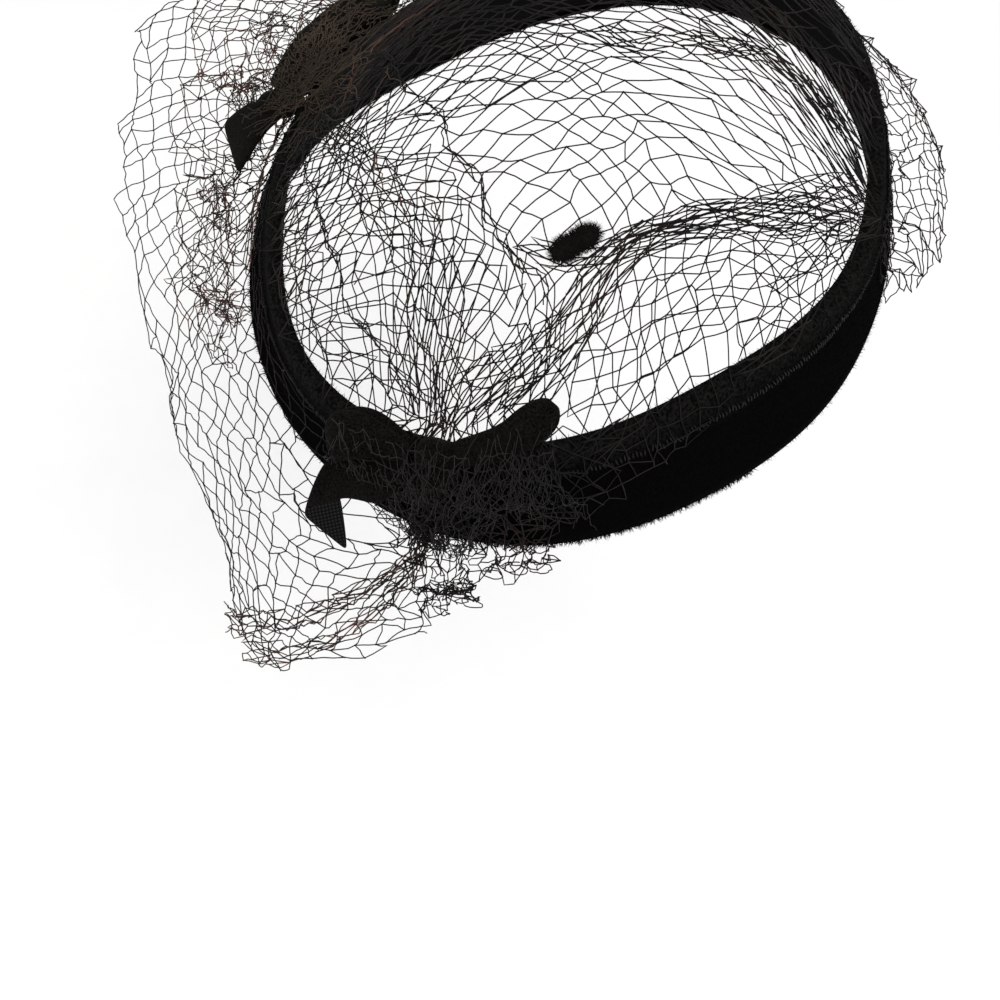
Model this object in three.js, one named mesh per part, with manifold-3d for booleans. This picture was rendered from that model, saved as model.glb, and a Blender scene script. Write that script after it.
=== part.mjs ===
// A cocktail hat: a padded velvet ring, net drawn over its open crown and falling free outside it,
// two velvet ribbon bows that gather the net, and one chenille dot.
// Millimetres, +Z up. The lower edge of the band lies in z = 0, centred on the Z axis.
// The front of the hat is -Y and the wearer's left is +X.

import * as THREE from "three";
import { mergeVertices } from "three/addons/utils/BufferGeometryUtils.js";
import Module from "manifold-3d";

const BAND_HEIGHT = 30;
const BAND_THICKNESS = 4;
const BAND_STEPS = 72;
const STITCH_DROP = 7;
const STITCH_DEPTH = 0.6;

const NET_THICKNESS = 1;
const NET_STRAND = 1.8;
const CROWN_RISE = 40;
const CROWN_CELLS = 7;
const CROWN_TURN = 41;
const FALL_TOP = 10;
const FALL_START = 98;
const FALL_END = -165;
const FALL_COLUMNS = 17;
const FALL_HALF_ROWS = 5;

const RIBBON_WIDTH = 14;
const RIBBON_THICKNESS = 1.8;
const SEAT_GAP = 0.3;

// The oval of the upper edge, and how far the lower edge stands out past it,
// as sums of waves that make so many turns round the ring.
const PLAN = [
  { turns: 0, upperCos: 73.14, upperSin: 0, flareCos: 12.44, flareSin: 0 },
  { turns: 1, upperCos: 0, upperSin: 0, flareCos: 2.47, flareSin: -1.11 },
  { turns: 2, upperCos: -8.91, upperSin: 0.22, flareCos: 1.69, flareSin: -0.1 },
  { turns: 3, upperCos: 0.17, upperSin: 0.53, flareCos: 0.63, flareSin: 1.64 },
  { turns: 4, upperCos: 2.57, upperSin: 0.32, flareCos: -0.87, flareSin: 0.5 },
];

// The free edge of the net: its direction from the Z axis in degrees, how far it stands out
// past the lower edge of the band, and its height.
const HEM = [
  { angle: 98, out: 16, z: -40 },
  { angle: 84, out: 38, z: -48 },
  { angle: 70, out: 30, z: -48 },
  { angle: 50, out: 26, z: -26 },
  { angle: 34, out: 34, z: -10 },
  { angle: 18, out: 44, z: 6 },
  { angle: 0, out: 48, z: 12 },
  { angle: -22, out: 44, z: 2 },
  { angle: -50, out: 36, z: -12 },
  { angle: -90, out: 30, z: -18 },
  { angle: -130, out: 24, z: -16 },
  { angle: -165, out: 12, z: -12 },
];

// The two bows: where each sits on the ring's upper edge, and how far it is tipped up from upright.
const SIDE_BOW = { angle: 17, tilt: 70 };
const BACK_BOW = { angle: 100, tilt: 45 };

const DOT = { column: 4, row: 5.7, length: 14, width: 8.5, waist: 7.3, turn: 56 };

const VELVET = { color: 0x0b0a0b, roughness: 0.95, metalness: 0 };
const NET = { color: 0x1a1615, roughness: 0.7, metalness: 0 };
const CHENILLE = { color: 0x0d0c0d, roughness: 1, metalness: 0 };

const wasm = await Module();
wasm.setup();

const radians = THREE.MathUtils.degToRad;
const lerp = THREE.MathUtils.lerp;

/** Sum of the plan's waves at an angle: the upper edge's radius, or the lower edge's flare. */
function planSum(cosColumn, sinColumn, angle) {
  return PLAN.reduce((sum, row) => {
    const phase = row.turns * angle;
    return sum + row[cosColumn] * Math.cos(phase) + row[sinColumn] * Math.sin(phase);
  }, 0);
}

const upperRadius = (angle) => planSum("upperCos", "upperSin", angle);
const lowerFlare = (angle) => planSum("flareCos", "flareSin", angle);

/** Radius of the band's outer face at a height. */
function outerRadius(angle, z) {
  const lean = lerp(lowerFlare(angle), BAND_THICKNESS, z / BAND_HEIGHT);
  return upperRadius(angle) + lean;
}

const polar = (radius, angle, z) =>
  new THREE.Vector3(radius * Math.cos(angle), radius * Math.sin(angle), z);

/** A geometry of shared vertices with its faces turned out. */
function closedSolid(geometry) {
  geometry.deleteAttribute("normal");
  geometry.deleteAttribute("uv");
  const merged = mergeVertices(geometry, 1e-3);
  const index = Array.from(merged.index.array);
  const faces = [];
  let volume = 0;
  const [a, b, c] = [new THREE.Vector3(), new THREE.Vector3(), new THREE.Vector3()];
  for (let i = 0; i < index.length; i += 3) {
    const [p, q, r] = index.slice(i, i + 3);
    if (p === q || q === r || r === p) continue;
    a.fromBufferAttribute(merged.attributes.position, p);
    b.fromBufferAttribute(merged.attributes.position, q);
    c.fromBufferAttribute(merged.attributes.position, r);
    volume += a.dot(b.clone().cross(c));
    faces.push([p, q, r]);
  }
  merged.setIndex(faces.flatMap(([p, q, r]) => (volume > 0 ? [p, q, r] : [p, r, q])));
  merged.computeVertexNormals();
  return merged;
}

/** Joins two closed geometries that overlap into one. */
function join(first, second) {
  const [solid, added] = [first, second].map((geometry) => {
    const closed = closedSolid(geometry);
    const mesh = new wasm.Mesh({
      numProp: 3,
      vertProperties: new Float32Array(closed.attributes.position.array),
      triVerts: new Uint32Array(closed.index.array),
    });
    return new wasm.Manifold(mesh);
  });
  const { vertProperties, triVerts } = solid.add(added).getMesh();
  const joined = new THREE.BufferGeometry();
  joined.setAttribute("position", new THREE.BufferAttribute(vertProperties, 3));
  joined.setIndex(Array.from(triVerts));
  return joined;
}

function piece(name, geometry, look) {
  const mesh = new THREE.Mesh(closedSolid(geometry), new THREE.MeshStandardMaterial(look));
  mesh.name = name;
  return mesh;
}

/** The velvet ring: one padded section with round edges and a stitch line, swept round the oval. */
function bandGeometry() {
  const round = BAND_THICKNESS / 2;
  const stitch = BAND_HEIGHT - STITCH_DROP;
  const section = new THREE.Path();
  section.moveTo(0, round);
  section.lineTo(0, stitch - 1.2);
  section.lineTo(-STITCH_DEPTH, stitch);
  section.lineTo(0, stitch + 1.2);
  section.absarc(-round, BAND_HEIGHT - round, round, 0, Math.PI, false);
  section.lineTo(-BAND_THICKNESS, round);
  section.absarc(-round, round, round, Math.PI, 2 * Math.PI, false);
  const outline = section.getPoints(6).map(({ x, y }) => new THREE.Vector2(100 + x, y));
  outline[outline.length - 1].copy(outline[0]);
  const ring = new THREE.LatheGeometry(outline, BAND_STEPS);
  const position = ring.attributes.position;
  for (let i = 0; i < position.count; i += 1) {
    const [x, z, y] = [position.getX(i), position.getY(i), position.getZ(i)];
    const angle = Math.atan2(y, x);
    const behindFace = Math.hypot(x, y) - 100;
    const spot = polar(outerRadius(angle, z) + behindFace, angle, z);
    position.setXYZ(i, spot.x, spot.y, spot.z);
  }
  return ring;
}

/** A sheet on the surface place(u, v), pierced by one four-sided gap in each cell. */
function pierced(cells, place) {
  const spots = [];
  const index = [];
  const known = new Map();
  const uses = new Map();

  function vertex([u, v], side) {
    const key = `${u.toFixed(5)} ${v.toFixed(5)} ${side}`;
    if (!known.has(key)) {
      const step = 1e-3;
      const along = place(u + step, v).sub(place(u - step, v));
      const across = place(u, v + step).sub(place(u, v - step));
      const normal = along.cross(across).normalize();
      known.set(key, spots.length);
      spots.push(place(u, v).addScaledVector(normal, (side * NET_THICKNESS) / 2));
    }
    return known.get(key);
  }
  const quad = (a, b, c, d) => index.push(a, b, c, a, c, d);

  for (const corners of cells) {
    const middle = [0, 1].map((k) => corners.reduce((sum, corner) => sum + corner[k] / 4, 0));
    const sides = corners.map((corner, i) => place(...corner).distanceTo(place(...corners[(i + 1) % 4])));
    const shrink = 1 - NET_STRAND / (sides.reduce((sum, side) => sum + side, 0) / 4);
    const gap = corners.map((corner) => corner.map((value, k) => lerp(middle[k], value, shrink)));
    for (let i = 0; i < 4; i += 1) {
      const j = (i + 1) % 4;
      const top = [corners[i], corners[j], gap[j], gap[i]].map((spot) => vertex(spot, 1));
      const under = [corners[i], corners[j], gap[j], gap[i]].map((spot) => vertex(spot, -1));
      quad(top[0], top[1], top[2], top[3]);
      quad(under[3], under[2], under[1], under[0]);
      quad(top[3], top[2], under[2], under[3]);
      const edge = [top[0], top[1]].sort((p, q) => p - q).join(" ");
      uses.set(edge, [...(uses.get(edge) ?? []), [top[1], top[0], under[0], under[1]]]);
    }
  }
  for (const walls of uses.values()) {
    if (walls.length === 1) quad(...walls[0]);
  }
  const sheet = new THREE.BufferGeometry();
  sheet.setAttribute("position", new THREE.Float32BufferAttribute(spots.flatMap((p) => p.toArray()), 3));
  sheet.setIndex(index);
  return sheet;
}

/** The middle of the net over the open crown, for u and v from -1 to 1 on a square laid over the oval. */
function crownPlace(u, v) {
  const x = u * Math.sqrt(1 - (v * v) / 2);
  const y = v * Math.sqrt(1 - (u * u) / 2);
  const angle = Math.atan2(y, x) + radians(CROWN_TURN);
  const share = Math.hypot(x, y);
  const rim = upperRadius(angle) + BAND_THICKNESS / 2;
  const z = BAND_HEIGHT + SEAT_GAP + 0.4 * NET_THICKNESS + CROWN_RISE * (1 - share * share);
  return polar(share * rim, angle, z);
}

const crownCorner = (k) => lerp(-1, 1, k / CROWN_CELLS);

function crownCells() {
  const cells = [];
  for (let i = 0; i < CROWN_CELLS; i += 1) {
    for (let j = 0; j < CROWN_CELLS; j += 1) {
      const [u0, u1, v0, v1] = [i, i + 1, j, j + 1].map(crownCorner);
      cells.push([[u0, v0], [u1, v0], [u1, v1], [u0, v1]]);
    }
  }
  return cells;
}

/** The free edge of the net at an angle, eased from one row of the table to the next. */
function hemPlace(angle) {
  const degrees = THREE.MathUtils.radToDeg(angle);
  const next = HEM.findIndex((row) => row.angle < degrees);
  const after = HEM[next === -1 ? HEM.length - 1 : Math.max(next, 1)];
  const before = HEM[HEM.indexOf(after) - 1];
  const share = THREE.MathUtils.smoothstep(-degrees, -before.angle, -after.angle);
  const out = lerp(before.out, after.out, share);
  return polar(upperRadius(angle) + lowerFlare(angle) + out, angle, lerp(before.z, after.z, share));
}

/** The middle of the falling net: u runs round the ring, v from the band's face down to the free edge. */
function fallPlace(u, v) {
  const angle = radians(lerp(FALL_START, FALL_END, u));
  const clear = SEAT_GAP + NET_THICKNESS;
  const top = polar(outerRadius(angle, FALL_TOP) + clear, angle, FALL_TOP);
  const hem = hemPlace(angle);
  const out = polar(1, angle, 0);
  const bend = top.clone().lerp(hem, 0.5).addScaledVector(out, 6).setZ(lerp(top.z, hem.z, 0.38));
  return new THREE.QuadraticBezierCurve3(top, bend, hem).getPoint(v);
}

function fallCells() {
  const cells = [];
  const half = 0.5 / FALL_COLUMNS;
  for (let level = 1; level < FALL_HALF_ROWS; level += 1) {
    const odd = level % 2;
    for (let column = 0; column < FALL_COLUMNS - 1 + odd; column += 1) {
      const u = (2 * column + 2 - odd) * half;
      const [above, v, below] = [level - 1, level, level + 1].map((row) => row / FALL_HALF_ROWS);
      cells.push([[u, above], [u - half, v], [u, below], [u + half, v]]);
    }
  }
  return cells;
}

/** A ribbon loop seen edge on: a tear-shaped wall that grows along +X from its root. */
function loopShape(length, radius, root) {
  const middle = length - radius;
  const shape = new THREE.Shape();
  shape.moveTo(0, -root);
  shape.quadraticCurveTo(middle * 0.5, -radius, middle, -radius);
  shape.absarc(middle, 0, radius, -Math.PI / 2, Math.PI / 2, false);
  shape.quadraticCurveTo(middle * 0.5, radius, 0, root);
  shape.closePath();
  const inside = radius - RIBBON_THICKNESS;
  const opening = new THREE.Path();
  opening.moveTo(length * 0.3, 0);
  opening.quadraticCurveTo(middle * 0.6, -inside, middle, -inside);
  opening.absarc(middle, 0, inside, -Math.PI / 2, Math.PI / 2, false);
  opening.quadraticCurveTo(middle * 0.6, inside, length * 0.3, 0);
  shape.holes.push(opening);
  return shape;
}

const outline = (corners) => new THREE.Shape(corners.map(({ along, up }) => new THREE.Vector2(along, up)));

const slab = (shape, depth) =>
  new THREE.ExtrudeGeometry(shape, { depth, bevelEnabled: false, curveSegments: 8 });

/** A loop that lies flat: its ribbon faces up, and it grows along +X from its root. */
const flatLoop = (length, radius, root, width) =>
  slab(loopShape(length, radius, root), width).translate(0, 0, -width / 2).rotateX(-Math.PI / 2);

/** The ribbon wrapped round the middle of a bow: a barrel along Y, flattened in Z. */
function knotGeometry(width, height, depth) {
  const profile = [[0, -0.5], [0.36, -0.5], [0.46, -0.38], [0.5, 0], [0.46, 0.38], [0.36, 0.5], [0, 0.5]];
  const points = profile.map(([x, y]) => new THREE.Vector2(x * width, y * height));
  return new THREE.LatheGeometry(points, 20).scale(1, 1, depth / width);
}

/** A group on the round upper edge of the band: X along the ring, Y inwards and up, Z off the edge. */
function bowSeat({ angle, tilt }) {
  const [turn, tip] = [radians(angle), radians(tilt)];
  const round = BAND_THICKNESS / 2;
  const centre = BAND_HEIGHT - round;
  const radius = outerRadius(turn, centre) - round + round * Math.cos(tip);
  const along = new THREE.Vector3(-Math.sin(turn), Math.cos(turn), 0);
  const off = polar(Math.cos(tip), turn, Math.sin(tip));
  const up = off.clone().cross(along);
  const seat = new THREE.Group();
  seat.position.copy(polar(radius, turn, centre + round * Math.sin(tip)));
  seat.quaternion.setFromRotationMatrix(new THREE.Matrix4().makeBasis(along, up, off));
  return seat;
}

/** The bow on the wearer's left: a loop lies along the ring and a slant-cut tail stands out from it. */
function sideBow() {
  const knot = { width: 8, height: 13, depth: 6 };
  const seat = bowSeat(SIDE_BOW);

  const wrap = piece("side_bow_knot", knotGeometry(knot.width, knot.height, knot.depth), VELVET);
  wrap.position.set(0, -4, SEAT_GAP + knot.depth / 2);

  const loop = piece("side_bow_loop", flatLoop(36, 3.4, 1.6, RIBBON_WIDTH).rotateZ(Math.PI), VELVET);
  loop.position.set(-knot.width / 2 - SEAT_GAP - 0.9, -5.5, 4.2);
  loop.rotation.z = radians(-9);

  const end = outline([
    { along: 0, up: 5.5 },
    { along: 0, up: -6 },
    { along: 1, up: -18.5 },
    { along: 18, up: -7 },
    { along: 7, up: 1.5 },
  ]);
  const tail = piece("side_bow_tail", slab(end, RIBBON_THICKNESS), VELVET);
  tail.position.set(knot.width / 2 + SEAT_GAP, -4, 2.2);
  tail.rotation.x = radians(4);

  return seat.add(wrap, loop, tail);
}

/** The bow at the back: two flat loops, and a tail whose end is folded over. */
function backBow() {
  const knot = { width: 11, height: 13, depth: 8 };
  const seat = bowSeat(BACK_BOW);

  const wrap = piece("back_bow_knot", knotGeometry(knot.width, knot.height, knot.depth), VELVET);
  wrap.position.set(3.5, -1.5, SEAT_GAP + knot.depth / 2);

  const right = piece("back_bow_loop_right", flatLoop(23, 2.9, 1.6, 8), VELVET);
  right.position.set(9.2, 4.05, 4.5);
  right.rotation.z = radians(50);

  const left = piece("back_bow_loop_left", flatLoop(18.5, 3, 1.6, 8), VELVET);
  left.position.set(-2.3, 2.3, 4.6);
  left.rotation.z = radians(178);

  const strip = slab(outline([
    { along: -2.4, up: -1.9 },
    { along: -18.5, up: -6.2 },
    { along: -21.5, up: -7 },
    { along: -23.5, up: -21.4 },
    { along: -16, up: -15.2 },
    { along: -8, up: -12 },
    { along: -2, up: -6.5 },
  ]), RIBBON_THICKNESS);
  const fold = { from: new THREE.Vector2(-23.5, -21.4), to: new THREE.Vector2(-16, -15.2) };
  const length = fold.from.distanceTo(fold.to);
  const flap = slab(outline([
    { along: 0, up: 0.9 },
    { along: 0.4, up: -0.6 },
    { along: length * 0.55, up: -10.5 },
    { along: length, up: 0.9 },
  ]), RIBBON_THICKNESS);
  flap.rotateX(radians(12));
  flap.rotateZ(fold.to.clone().sub(fold.from).angle());
  flap.translate(fold.from.x, fold.from.y, 0.2);
  const tail = piece("back_bow_tail", join(strip, flap), VELVET);
  tail.position.set(0, 0, 2.4);

  return seat.add(wrap, right, left, tail);
}

/** The two-lobed tuft on the crown net, laid on a crossing of the strands. */
function chenilleDot() {
  const profile = [];
  const steps = 14;
  for (let i = 0; i <= steps; i += 1) {
    const turn = (Math.PI * i) / steps;
    const pinch = (DOT.width - DOT.waist) * Math.exp(-((Math.cos(turn) / 0.28) ** 2));
    profile.push(new THREE.Vector2(((DOT.width - pinch) / 2) * Math.sin(turn), (-DOT.length / 2) * Math.cos(turn)));
  }
  const dot = piece("chenille_dot", new THREE.LatheGeometry(profile, 14), CHENILLE);
  const [u, v] = [DOT.column, DOT.row].map(crownCorner);
  const step = 1e-3;
  const along = crownPlace(u + step, v).sub(crownPlace(u - step, v));
  const across = crownPlace(u, v + step).sub(crownPlace(u, v - step));
  const normal = along.cross(across).normalize();
  const lift = NET_THICKNESS / 2 + SEAT_GAP + DOT.waist / 2;
  dot.position.copy(crownPlace(u, v)).addScaledVector(normal, lift);
  const axis = new THREE.Vector3(Math.cos(radians(DOT.turn)), Math.sin(radians(DOT.turn)), 0);
  axis.addScaledVector(normal, -axis.dot(normal)).normalize();
  dot.quaternion.setFromUnitVectors(new THREE.Vector3(0, 1, 0), axis);
  return dot;
}

const hat = new THREE.Group();
hat.add(
  piece("band", bandGeometry(), VELVET),
  piece("veil_crown", pierced(crownCells(), crownPlace), NET),
  piece("veil_fall", pierced(fallCells(), fallPlace), NET),
  sideBow(),
  backBow(),
  chenilleDot(),
);

export default hat;
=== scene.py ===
# %% [markdown]
# A cocktail hat in Blender
#
# The hat is a ring of black velvet with an open crown. Knotted net is drawn over the crown, caught
# by two ribbon bows and left to fall round the outside. The solids of the part are already in their
# places, so this lesson dresses them: it lays velvet, ribbon, net and a tuft where the solids are.

import math

import bmesh
import bpy
import numpy as np
from mathutils import Matrix, Vector


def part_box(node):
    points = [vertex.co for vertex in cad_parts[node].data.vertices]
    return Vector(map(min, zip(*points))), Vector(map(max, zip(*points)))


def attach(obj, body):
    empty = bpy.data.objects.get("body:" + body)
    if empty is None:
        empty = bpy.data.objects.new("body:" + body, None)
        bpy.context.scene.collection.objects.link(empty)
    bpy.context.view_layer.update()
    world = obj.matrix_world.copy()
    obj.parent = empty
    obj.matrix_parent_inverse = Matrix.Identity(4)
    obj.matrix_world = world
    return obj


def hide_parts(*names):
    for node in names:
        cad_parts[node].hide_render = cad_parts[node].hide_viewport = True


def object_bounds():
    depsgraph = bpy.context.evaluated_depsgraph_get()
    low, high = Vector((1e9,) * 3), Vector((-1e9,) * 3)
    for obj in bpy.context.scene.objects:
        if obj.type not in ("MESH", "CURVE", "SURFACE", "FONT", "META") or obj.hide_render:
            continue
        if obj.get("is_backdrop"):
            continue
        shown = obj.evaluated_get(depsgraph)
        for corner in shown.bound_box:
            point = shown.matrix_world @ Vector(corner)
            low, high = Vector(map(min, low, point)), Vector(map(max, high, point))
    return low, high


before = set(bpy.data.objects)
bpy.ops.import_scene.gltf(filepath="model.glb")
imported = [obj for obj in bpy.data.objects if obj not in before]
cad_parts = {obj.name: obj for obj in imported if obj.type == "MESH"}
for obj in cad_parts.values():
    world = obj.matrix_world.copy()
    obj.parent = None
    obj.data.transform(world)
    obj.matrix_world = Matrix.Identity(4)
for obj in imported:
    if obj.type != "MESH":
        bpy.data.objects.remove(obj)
CAD_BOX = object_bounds()
MM = 0.001
print("solids:", ", ".join(sorted(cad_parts)))

# %% [markdown]
# The camera looks down on the back of the hat from above its left shoulder. Its place was found by
# fitting the ring's two edges to the outline of the real hat, so it is given here as three
# directions and one point, and a lens that is a little longer than normal.

# %% Camera
view_right = Vector((-0.8394, -0.5410, -0.0523))
view_up = Vector((0.4479, -0.7431, 0.4973))
view_back = Vector((-0.3078, 0.3940, 0.8660))
eye = Vector((-115.27, 191.83, 257.94)) * MM

camera_data = bpy.data.cameras.new("camera")
camera_data.lens = 46.8
camera_data.sensor_width = 36
camera_data.clip_start = 0.01
camera = bpy.data.objects.new("camera", camera_data)
turn = Matrix((view_right, view_up, view_back)).transposed()
camera.matrix_world = Matrix.Translation(eye) @ turn.to_4x4()
bpy.context.scene.collection.objects.link(camera)
bpy.context.scene.camera = camera
print("camera at", [round(value, 3) for value in eye])

# %% [markdown]
# Black cloth needs a bright, even room: what shows is the edge of each thread against something
# pale. The floor is a plain sheet far enough below the hat that it takes only a faint shadow.

# %% Shader sums
class Wire:
    """A shader socket that joins in Python sums; each operation adds one Math node."""

    def __init__(self, tree, socket):
        self.tree = tree
        self.socket = socket

    def sum_with(self, operation, first, second):
        node = self.tree.nodes.new("ShaderNodeMath")
        node.operation = operation
        for slot, value in zip(node.inputs, (first, second)):
            if isinstance(value, Wire):
                self.tree.links.new(value.socket, slot)
            else:
                slot.default_value = value
        return Wire(self.tree, node.outputs[0])

    def __add__(self, other):
        return self.sum_with("ADD", self, other)

    def __radd__(self, other):
        return self.sum_with("ADD", other, self)

    def __sub__(self, other):
        return self.sum_with("SUBTRACT", self, other)

    def __rsub__(self, other):
        return self.sum_with("SUBTRACT", other, self)

    def __mul__(self, other):
        return self.sum_with("MULTIPLY", self, other)

    def __rmul__(self, other):
        return self.sum_with("MULTIPLY", other, self)


class Nodes:
    """A node tree whose nodes, but for those of sums, all come from one method."""

    def node(self, kind, settings, inputs, output=0):
        node = self.tree.nodes.new(kind)
        for name, value in settings.items():
            setattr(node, name, value)
        for name, value in inputs.items():
            for part in value if isinstance(value, list) else [value]:
                if isinstance(part, Wire):
                    self.tree.links.new(part.socket, node.inputs[name])
                else:
                    node.inputs[name].default_value = part
        return Wire(self.tree, node.outputs[output]) if node.outputs else None


class Finish(Nodes):
    """A material with one Principled shader, built node by node."""

    def __init__(self, name, **constants):
        self.material = bpy.data.materials.new(name)
        self.material.use_nodes = True
        self.tree = self.material.node_tree
        self.shader = self.tree.nodes["Principled BSDF"]
        for socket, value in constants.items():
            self.shader.inputs[socket.replace("_", " ")].default_value = value

    def feed(self, socket, wire):
        self.tree.links.new(wire.socket, self.shader.inputs[socket])

    def place(self):
        return self.node("ShaderNodeTexCoord", {}, {}, "Object")

    def noise(self, place, scale, detail=2.0):
        inputs = {"Vector": place, "Scale": scale, "Detail": detail}
        return self.node("ShaderNodeTexNoise", {"noise_dimensions": "3D"}, inputs, "Fac")

    def between(self, value, low, high):
        inputs = {"Value": value, "From Min": low, "From Max": high}
        return self.node("ShaderNodeMapRange", {"clamp": True}, inputs)

    def blend(self, share, first, second):
        return self.node("ShaderNodeMix", {"data_type": "RGBA"}, {0: share, 6: first, 7: second}, 2)

    def bump(self, height, strength, distance):
        inputs = {"Height": height, "Strength": strength, "Distance": distance}
        self.feed("Normal", self.node("ShaderNodeBump", {}, inputs))


def colour(red, green, blue):
    """A linear colour given in thousandths."""
    return (red / 1000, green / 1000, blue / 1000, 1)


print("shader helpers ready")

# %% Floor, light and room
FLOOR_DROP = 0.25
floor_mesh = bpy.data.meshes.new("floor")
bm = bmesh.new()
bmesh.ops.create_grid(bm, x_segments=2, y_segments=2, size=4.0)
bmesh.ops.translate(bm, vec=(0, 0, -FLOOR_DROP), verts=bm.verts)
bm.to_mesh(floor_mesh)
bm.free()
floor = bpy.data.objects.new("floor", floor_mesh)
bpy.context.scene.collection.objects.link(floor)
paper = Finish("pale_paper", Roughness=0.9)
speckle = paper.noise(paper.place(), 40.0)
paper.feed("Base Color", paper.blend(speckle, colour(800, 800, 795), colour(830, 830, 825)))
floor_mesh.materials.append(paper.material)
floor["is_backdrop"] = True

world = bpy.data.worlds.new("room")
bpy.context.scene.world = world
world.use_nodes = True
world.node_tree.nodes["Background"].inputs["Color"].default_value = (1.0, 1.0, 1.0, 1)
world.node_tree.nodes["Background"].inputs["Strength"].default_value = 0.75


def soft_lamp(name, place, size, power):
    data = bpy.data.lights.new(name, "AREA")
    data.size = size
    data.energy = power
    lamp = bpy.data.objects.new(name, data)
    aim = Vector((0, 0, 0)) - Vector(place)
    lamp.matrix_world = Matrix.Translation(place) @ aim.to_track_quat("-Z", "Y").to_matrix().to_4x4()
    bpy.context.scene.collection.objects.link(lamp)


soft_lamp("key_lamp", (-0.9, 0.2, 1.5), 1.2, 22.0)
soft_lamp("fill_lamp", (1.2, 0.9, 1.1), 1.4, 10.0)
bpy.context.scene.view_settings.view_transform = "Standard"
print("floor", FLOOR_DROP, "m below the band")

# %% [markdown]
# Velvet is a short upright pile. It swallows light seen end on and greys where the pile is bent
# over, as along the rolled upper edge of the band. One dark colour with a grainy mottle does most
# of it; a height mask paints a lighter sheen onto the rolled edge, a painted highlight in its
# colour, and real fibres break the outline later.

# %% Band velvet
PILE = {"Roughness": 1.0, "Specular_IOR_Level": 0.0}
velvet = Finish("band_velvet", **PILE, Sheen_Weight=0.012, Sheen_Roughness=0.5)
spot = velvet.place()
grain = velvet.noise(spot, 1400.0)
patch = velvet.noise(spot, 90.0, 3.0)
height = velvet.node("ShaderNodeSeparateXYZ", {}, {"Vector": spot}, "Z")
# Painted sheen: from about 21 mm up the colour goes over to a lighter mottle, standing in for the light the
# bent pile catches on the rolled edge.
rolled = velvet.between(height + 0.003 * (patch - 0.5), 0.021, 0.0275)
deep = velvet.blend(grain, colour(0.3, 0.3, 0.3), colour(2.7, 2.7, 2.5))
edge_sheen_grain = velvet.between(grain, 0.35, 0.65)
painted_edge_sheen = velvet.blend(edge_sheen_grain, colour(1.3, 1.3, 1.2), colour(8.6, 8.3, 7.8))
velvet.feed("Base Color", velvet.blend(rolled, deep, painted_edge_sheen))
velvet.bump(grain, 0.5, 0.0004)
print("velvet ready")

# %% [markdown]
# The band is one padded section carried round an oval. The section starts as four corners, its
# corners are rounded, and a full spin makes a round ring; then each point slides out to the oval,
# which is written as a sum of waves, with the lower edge flaring past the upper one.

# %% The oval
BAND_HEIGHT = 30.0
BAND_THICKNESS = 4.0
UPPER_WAVES = ((73.14, 0.0), (0.0, 0.0), (-8.91, 0.22), (0.17, 0.53), (2.57, 0.32))
FLARE_WAVES = ((12.44, 0.0), (2.47, -1.11), (1.69, -0.1), (0.63, 1.64), (-0.87, 0.5))


def waves(table, angle):
    total = 0.0 * angle
    for turns, (cosine, sine) in enumerate(table):
        total = total + cosine * np.cos(turns * angle) + sine * np.sin(turns * angle)
    return total


def upper_radius(angle):
    return waves(UPPER_WAVES, angle)


def outer_radius(angle, z):
    lean = waves(FLARE_WAVES, angle) * (1 - z / BAND_HEIGHT) + BAND_THICKNESS * z / BAND_HEIGHT
    return upper_radius(angle) + lean


def polar(radius, angle, z):
    return (radius * math.cos(angle), radius * math.sin(angle), z)


print("upper edge", round(2 * float(upper_radius(np.array(math.pi / 2))), 1), "mm long")

# %% The band
def finished_piece(name, bm, material, node=None, smooth=True):
    """Turns a bmesh in millimetres into a piece that rides on the hat."""
    bmesh.ops.scale(bm, vec=(MM, MM, MM), verts=bm.verts)
    mesh = bpy.data.meshes.new(name)
    for face in bm.faces:
        face.smooth = smooth
    bm.to_mesh(mesh)
    bm.free()
    mesh.materials.append(material)
    return dressed(bpy.data.objects.new(name, mesh), node)


def dressed(piece, node):
    """Links a piece, hangs it on the hat and says which solid it stands for."""
    bpy.context.scene.collection.objects.link(piece)
    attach(piece, "root")
    if node:
        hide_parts(node)
    return piece


SPIN_RADIUS = 100.0
EDGE_ROUNDING = 1.9
PADDING = 0.6
SWAY = 0.25
bm = bmesh.new()
inner, outer = SPIN_RADIUS - BAND_THICKNESS, SPIN_RADIUS
outline = ((inner, 0), (outer, 0), (outer, BAND_HEIGHT), (inner, BAND_HEIGHT))
corners = [bm.verts.new((x, 0, z)) for x, z in outline]
bm.faces.new(corners)
rounding = {"offset": EDGE_ROUNDING, "segments": 4, "profile": 0.5, "affect": "VERTICES", "material": -1}
bmesh.ops.bevel(bm, geom=corners, **rounding)
walls = [edge for edge in bm.edges if edge.calc_length() > BAND_HEIGHT / 2]
bmesh.ops.subdivide_edges(bm, edges=walls, cuts=12)
bmesh.ops.delete(bm, geom=bm.faces[:], context="FACES_ONLY")
section = bm.verts[:] + bm.edges[:]
bmesh.ops.spin(bm, geom=section, cent=(0, 0, 0), axis=(0, 0, 1), angle=math.tau, steps=200, use_merge=True)
for vertex in bm.verts:
    angle = np.array(math.atan2(vertex.co.y, vertex.co.x))
    behind = math.hypot(vertex.co.x, vertex.co.y) - SPIN_RADIUS
    padding = PADDING * math.sin(math.pi * vertex.co.z / BAND_HEIGHT) * (1 + behind / BAND_THICKNESS)
    sway = SWAY * math.sin(7 * angle + 0.4 * vertex.co.z)
    radius = float(outer_radius(angle, vertex.co.z)) + behind + padding + sway
    vertex.co = polar(radius, angle, vertex.co.z)
bmesh.ops.recalc_face_normals(bm, faces=bm.faces)
band = finished_piece("band_velvet_ring", bm, velvet.material, "band")
print("band faces", len(band.data.polygons))

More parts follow.
